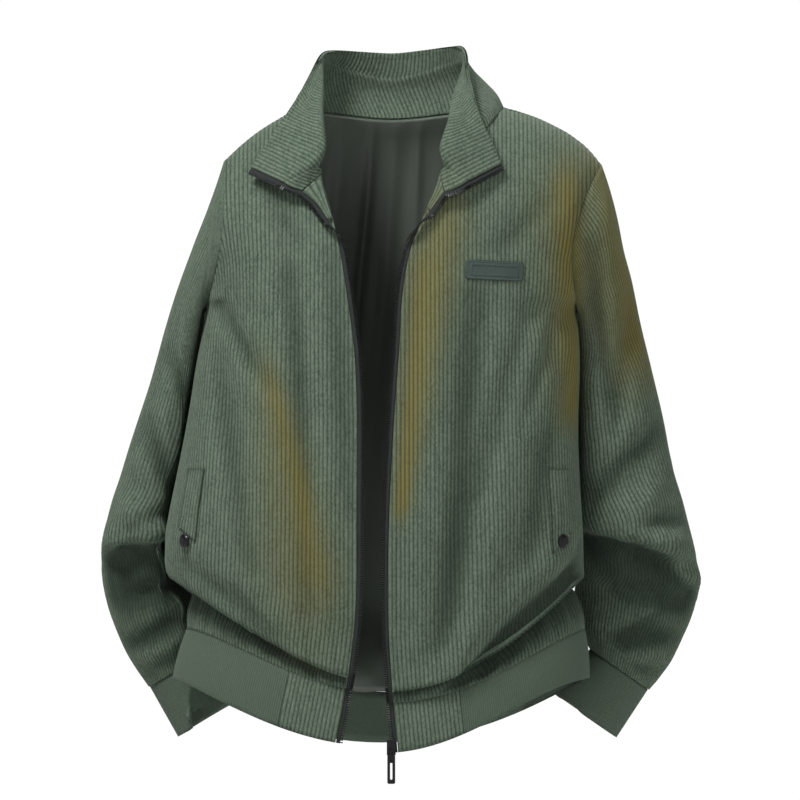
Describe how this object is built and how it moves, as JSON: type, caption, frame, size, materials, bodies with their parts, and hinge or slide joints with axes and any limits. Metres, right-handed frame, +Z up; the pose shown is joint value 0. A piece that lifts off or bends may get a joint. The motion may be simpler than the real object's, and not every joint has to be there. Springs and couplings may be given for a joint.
{
  "type": "corduroy jacket",
  "caption": "Men's zip jacket in corduroy with a folded-back stand collar, rib knit hem and cuffs, filled out and open down the front, with a hinged zip pull.",
  "frame": {"origin": "level with the back neck seam, in the middle of the neck opening, where a wearer or a hanger holds the jacket up", "axes": "+Z up, +X to the wearer's left, and the open front faces -Y"},
  "size_m": [0.6445, 0.2582, 0.7864],
  "materials": {
    "corduroy": "ribbed pile, faded to ochre in places",
    "rib_knit": "fine rib knit",
    "lining": "plain satin",
    "zip_tape": "woven tape",
    "black_metal": "black plated",
    "patch_rubber": "matt"
  },
  "bodies": {
    "garment": {"front_right": "corduroy", "back": "corduroy", "front_left": "corduroy", "hem_tab_right": "corduroy", "hem_rib": "rib_knit", "hem_tab_left": "corduroy", "sleeve_right": "corduroy", "cuff_right": "rib_knit", "sleeve_left": "corduroy", "cuff_left": "rib_knit", "collar_outer": "corduroy", "collar_inner": "corduroy", "facing_right": "corduroy", "facing_left": "corduroy", "lining_back": "lining", "pocket_welt_right": "corduroy", "snap_right": "black_metal", "pocket_welt_left": "corduroy", "snap_left": "black_metal", "badge": "patch_rubber", "badge_frame": "patch_rubber", "zip_tape_right": "zip_tape", "zip_chain_right": "black_metal", "zip_tape_left": "zip_tape", "zip_chain_left": "black_metal", "zip_slider": "black_metal", "zip_retainer": "black_metal"},
    "pull": {"zip_pull": "black_metal"}
  },
  "joints": [
    {"name": "zip_pull_hinge", "type": "hinge", "parent": "garment", "child": "pull", "pos_m": [0.00143, -0.10468, -0.6738], "axis": [-1, 0, 0], "range_deg": [0, 150]}
  ]
}
